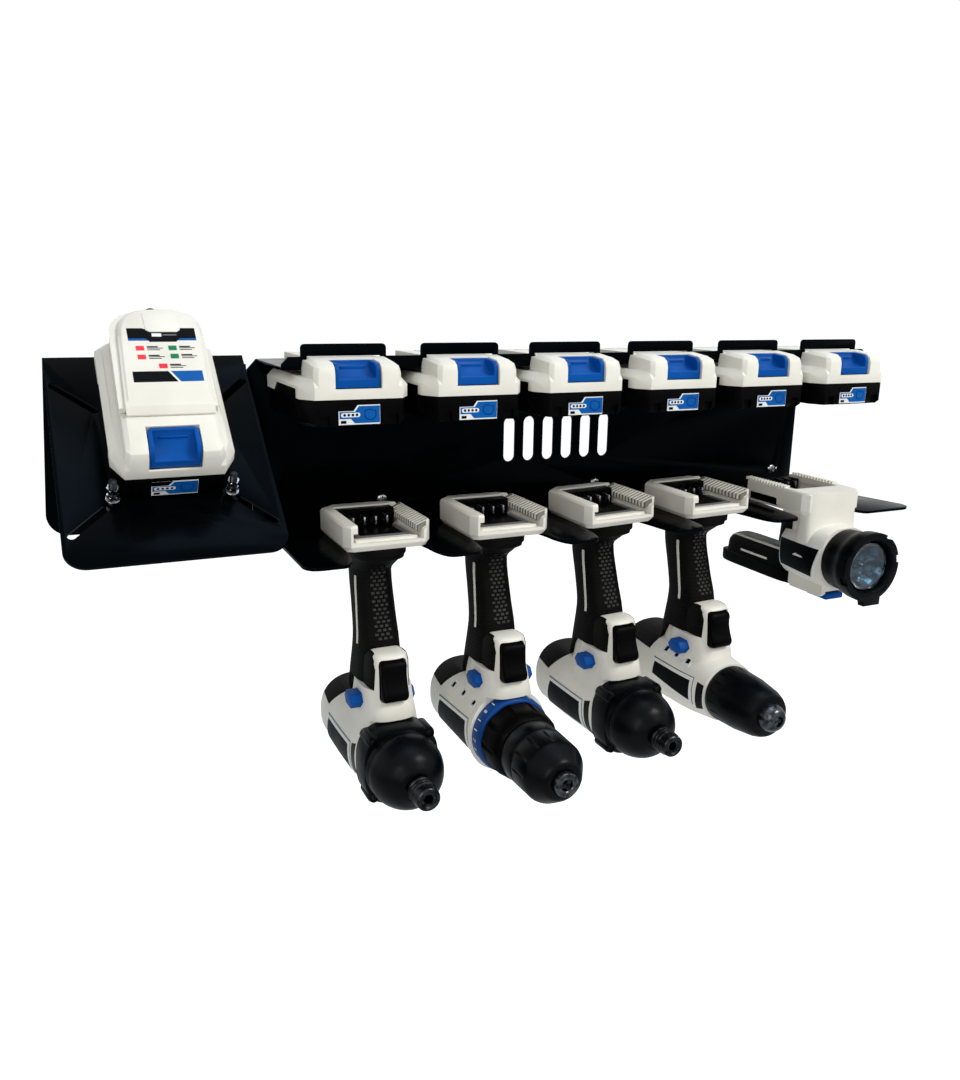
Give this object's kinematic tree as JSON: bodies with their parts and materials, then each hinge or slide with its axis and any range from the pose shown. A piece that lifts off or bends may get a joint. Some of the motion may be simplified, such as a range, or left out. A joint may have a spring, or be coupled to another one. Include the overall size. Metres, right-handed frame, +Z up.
{
  "type": "drill charging station",
  "caption": "Wall rack that hangs cordless drivers and a work light by their feet under a shelf of battery packs, beside a sloped charger plate.",
  "frame": {"origin": "on the wall behind the back panel, on the line of the wall screws, halfway along the rack", "axes": "+X to the right along the wall, +Y into the wall, so -Y points out into the room, +Z up"},
  "size_m": [0.7157, 0.2306, 0.3612],
  "materials": {
    "powder_coat": "semi-gloss black powder coat",
    "plated_steel": "bright zinc plate",
    "white_plastic": "fine-grained off-white",
    "black_plastic": "fine-grained black",
    "rubber_grip": "textured soft rubber",
    "blue_plastic": "satin blue",
    "dark_steel": "black oxide",
    "clear_lens": "clear moulded lens"
  },
  "bodies": {
    "rack": {"back_panel": "powder_coat", "battery_shelf": "powder_coat", "tool_shelf": "powder_coat", "wall_screw_1": "plated_steel", "wall_screw_2": "plated_steel", "wall_screw_3": "plated_steel", "charger_plate": "powder_coat", "stop_bolt_left": "plated_steel", "stop_bolt_right": "plated_steel"},
    "pack_1": {"pack_1_lower_case": "black_plastic", "pack_1_upper_case": "white_plastic"},
    "pack_1_latch_button": {"pack_1_latch": "blue_plastic"},
    "pack_2": {"pack_2_lower_case": "black_plastic", "pack_2_upper_case": "white_plastic"},
    "pack_2_latch_button": {"pack_2_latch": "blue_plastic"},
    "pack_3": {"pack_3_lower_case": "black_plastic", "pack_3_upper_case": "white_plastic"},
    "pack_3_latch_button": {"pack_3_latch": "blue_plastic"},
    "pack_4": {"pack_4_lower_case": "black_plastic", "pack_4_upper_case": "white_plastic"},
    "pack_4_latch_button": {"pack_4_latch": "blue_plastic"},
    "pack_5": {"pack_5_lower_case": "black_plastic", "pack_5_upper_case": "white_plastic"},
    "pack_5_latch_button": {"pack_5_latch": "blue_plastic"},
    "pack_6": {"pack_6_lower_case": "black_plastic", "pack_6_upper_case": "white_plastic"},
    "pack_6_latch_button": {"pack_6_latch": "blue_plastic"},
    "charging_pack": {"charging_pack_lower_case": "black_plastic", "charging_pack_upper_case": "white_plastic"},
    "charging_pack_latch_button": {"charging_pack_latch": "blue_plastic"},
    "charger": {"charger_base": "white_plastic", "charger_cover": "white_plastic"},
    "impact_driver_1": {"impact_driver_1_housing": "white_plastic", "impact_driver_1_grip": "rubber_grip", "impact_driver_1_nose_cover": "black_plastic"},
    "impact_driver_1_trigger_body": {"impact_driver_1_trigger": "black_plastic"},
    "impact_driver_1_selector_body": {"impact_driver_1_selector": "blue_plastic"},
    "impact_driver_1_bit_holder_body": {"impact_driver_1_bit_holder": "dark_steel"},
    "hammer_drill": {"hammer_drill_housing": "white_plastic", "hammer_drill_grip": "rubber_grip"},
    "hammer_drill_trigger_body": {"hammer_drill_trigger": "black_plastic"},
    "hammer_drill_selector_body": {"hammer_drill_selector": "blue_plastic"},
    "hammer_drill_torque_ring_body": {"hammer_drill_torque_ring": "black_plastic"},
    "hammer_drill_chuck_body": {"hammer_drill_chuck": "black_plastic"},
    "impact_driver_2": {"impact_driver_2_housing": "white_plastic", "impact_driver_2_grip": "rubber_grip", "impact_driver_2_nose_cover": "black_plastic"},
    "impact_driver_2_trigger_body": {"impact_driver_2_trigger": "black_plastic"},
    "impact_driver_2_selector_body": {"impact_driver_2_selector": "blue_plastic"},
    "impact_driver_2_bit_holder_body": {"impact_driver_2_bit_holder": "dark_steel"},
    "drill_driver": {"drill_driver_housing": "white_plastic", "drill_driver_grip": "rubber_grip"},
    "drill_driver_trigger_body": {"drill_driver_trigger": "black_plastic"},
    "drill_driver_selector_body": {"drill_driver_selector": "blue_plastic"},
    "drill_driver_chuck_body": {"drill_driver_chuck": "black_plastic"},
    "light": {"light_body": "white_plastic", "light_grip": "rubber_grip", "light_bell": "black_plastic", "light_lens": "clear_lens"},
    "light_switch": {"light_button": "blue_plastic"}
  },
  "joints": [
    {"name": "pack_1_slide", "type": "slide", "parent": "rack", "child": "pack_1", "axis": [0, -1, 0], "range_m": [0, 0.11]},
    {"name": "pack_1_latch_press", "type": "slide", "parent": "pack_1", "child": "pack_1_latch_button", "axis": [0, 0, -1], "range_m": [0, 0.004], "stiffness_N_per_m": 1500},
    {"name": "pack_2_slide", "type": "slide", "parent": "rack", "child": "pack_2", "axis": [0, -1, 0], "range_m": [0, 0.11]},
    {"name": "pack_2_latch_press", "type": "slide", "parent": "pack_2", "child": "pack_2_latch_button", "axis": [0, 0, -1], "range_m": [0, 0.004], "stiffness_N_per_m": 1500},
    {"name": "pack_3_slide", "type": "slide", "parent": "rack", "child": "pack_3", "axis": [0, -1, 0], "range_m": [0, 0.11]},
    {"name": "pack_3_latch_press", "type": "slide", "parent": "pack_3", "child": "pack_3_latch_button", "axis": [0, 0, -1], "range_m": [0, 0.004], "stiffness_N_per_m": 1500},
    {"name": "pack_4_slide", "type": "slide", "parent": "rack", "child": "pack_4", "axis": [0, -1, 0], "range_m": [0, 0.11]},
    {"name": "pack_4_latch_press", "type": "slide", "parent": "pack_4", "child": "pack_4_latch_button", "axis": [0, 0, -1], "range_m": [0, 0.004], "stiffness_N_per_m": 1500},
    {"name": "pack_5_slide", "type": "slide", "parent": "rack", "child": "pack_5", "axis": [0, -1, 0], "range_m": [0, 0.11]},
    {"name": "pack_5_latch_press", "type": "slide", "parent": "pack_5", "child": "pack_5_latch_button", "axis": [0, 0, -1], "range_m": [0, 0.004], "stiffness_N_per_m": 1500},
    {"name": "pack_6_slide", "type": "slide", "parent": "rack", "child": "pack_6", "axis": [0, -1, 0], "range_m": [0, 0.11]},
    {"name": "pack_6_latch_press", "type": "slide", "parent": "pack_6", "child": "pack_6_latch_button", "axis": [0, 0, -1], "range_m": [0, 0.004], "stiffness_N_per_m": 1500},
    {"name": "charging_pack_lift", "type": "slide", "parent": "rack", "child": "charging_pack", "axis": [0, -0.6334, 0.7738], "range_m": [0, 0.08]},
    {"name": "charging_pack_latch_press", "type": "slide", "parent": "charging_pack", "child": "charging_pack_latch_button", "axis": [0, 0.6334, -0.7738], "range_m": [0, 0.004], "stiffness_N_per_m": 1500},
    {"name": "charger_slide", "type": "slide", "parent": "charging_pack", "child": "charger", "axis": [0, 0.7738, 0.6334], "range_m": [0, 0.095]},
    {"name": "impact_driver_1_slide", "type": "slide", "parent": "rack", "child": "impact_driver_1", "axis": [0, -1, 0], "range_m": [0, 0.11]},
    {"name": "impact_driver_1_trigger_pull", "type": "slide", "parent": "impact_driver_1", "child": "impact_driver_1_trigger_body", "axis": [0, 1, 0], "range_m": [0, 0.007], "stiffness_N_per_m": 1200},
    {"name": "impact_driver_1_direction_select", "type": "slide", "parent": "impact_driver_1", "child": "impact_driver_1_selector_body", "axis": [1, 0, 0], "range_m": [0, 0.006]},
    {"name": "impact_driver_1_bit_holder_spin", "type": "hinge", "parent": "impact_driver_1", "child": "impact_driver_1_bit_holder_body", "pos_m": [-0.19832, -0.165, -0.1755], "axis": [0, -1, 0], "continuous": true},
    {"name": "hammer_drill_slide", "type": "slide", "parent": "rack", "child": "hammer_drill", "axis": [0, -1, 0], "range_m": [0, 0.11]},
    {"name": "hammer_drill_trigger_pull", "type": "slide", "parent": "hammer_drill", "child": "hammer_drill_trigger_body", "axis": [0, 1, 0], "range_m": [0, 0.007], "stiffness_N_per_m": 1200},
    {"name": "hammer_drill_direction_select", "type": "slide", "parent": "hammer_drill", "child": "hammer_drill_selector_body", "axis": [1, 0, 0], "range_m": [-0.003, 0.003]},
    {"name": "hammer_drill_torque_turn", "type": "hinge", "parent": "hammer_drill", "child": "hammer_drill_torque_ring_body", "pos_m": [-0.09916, -0.12, -0.1755], "axis": [0, -1, 0], "range_deg": [0, 300]},
    {"name": "hammer_drill_chuck_spin", "type": "hinge", "parent": "hammer_drill", "child": "hammer_drill_chuck_body", "pos_m": [-0.09916, -0.165, -0.1755], "axis": [0, -1, 0], "continuous": true},
    {"name": "impact_driver_2_slide", "type": "slide", "parent": "rack", "child": "impact_driver_2", "axis": [0, -1, 0], "range_m": [0, 0.11]},
    {"name": "impact_driver_2_trigger_pull", "type": "slide", "parent": "impact_driver_2", "child": "impact_driver_2_trigger_body", "axis": [0, 1, 0], "range_m": [0, 0.007], "stiffness_N_per_m": 1200},
    {"name": "impact_driver_2_direction_select", "type": "slide", "parent": "impact_driver_2", "child": "impact_driver_2_selector_body", "axis": [0.9995, 0, 0.0332], "range_m": [0, 0.006]},
    {"name": "impact_driver_2_bit_holder_spin", "type": "hinge", "parent": "impact_driver_2", "child": "impact_driver_2_bit_holder_body", "pos_m": [0.00632, -0.165, -0.1743], "axis": [0, -1, 0], "continuous": true},
    {"name": "drill_driver_slide", "type": "slide", "parent": "rack", "child": "drill_driver", "axis": [0, -1, 0], "range_m": [0, 0.11]},
    {"name": "drill_driver_trigger_pull", "type": "slide", "parent": "drill_driver", "child": "drill_driver_trigger_body", "axis": [0, 1, 0], "range_m": [0, 0.007], "stiffness_N_per_m": 1200},
    {"name": "drill_driver_direction_select", "type": "slide", "parent": "drill_driver", "child": "drill_driver_selector_body", "axis": [0.9997, 0, 0.0227], "range_m": [0, 0.006]},
    {"name": "drill_driver_chuck_spin", "type": "hinge", "parent": "drill_driver", "child": "drill_driver_chuck_body", "pos_m": [0.10145, -0.165, -0.1662], "axis": [0, -1, 0], "continuous": true},
    {"name": "light_slide", "type": "slide", "parent": "rack", "child": "light", "axis": [0, -1, 0], "range_m": [0, 0.1]},
    {"name": "light_switch_press", "type": "slide", "parent": "light", "child": "light_switch", "axis": [0, 0, 1], "range_m": [0, 0.002], "stiffness_N_per_m": 1000}
  ]
}
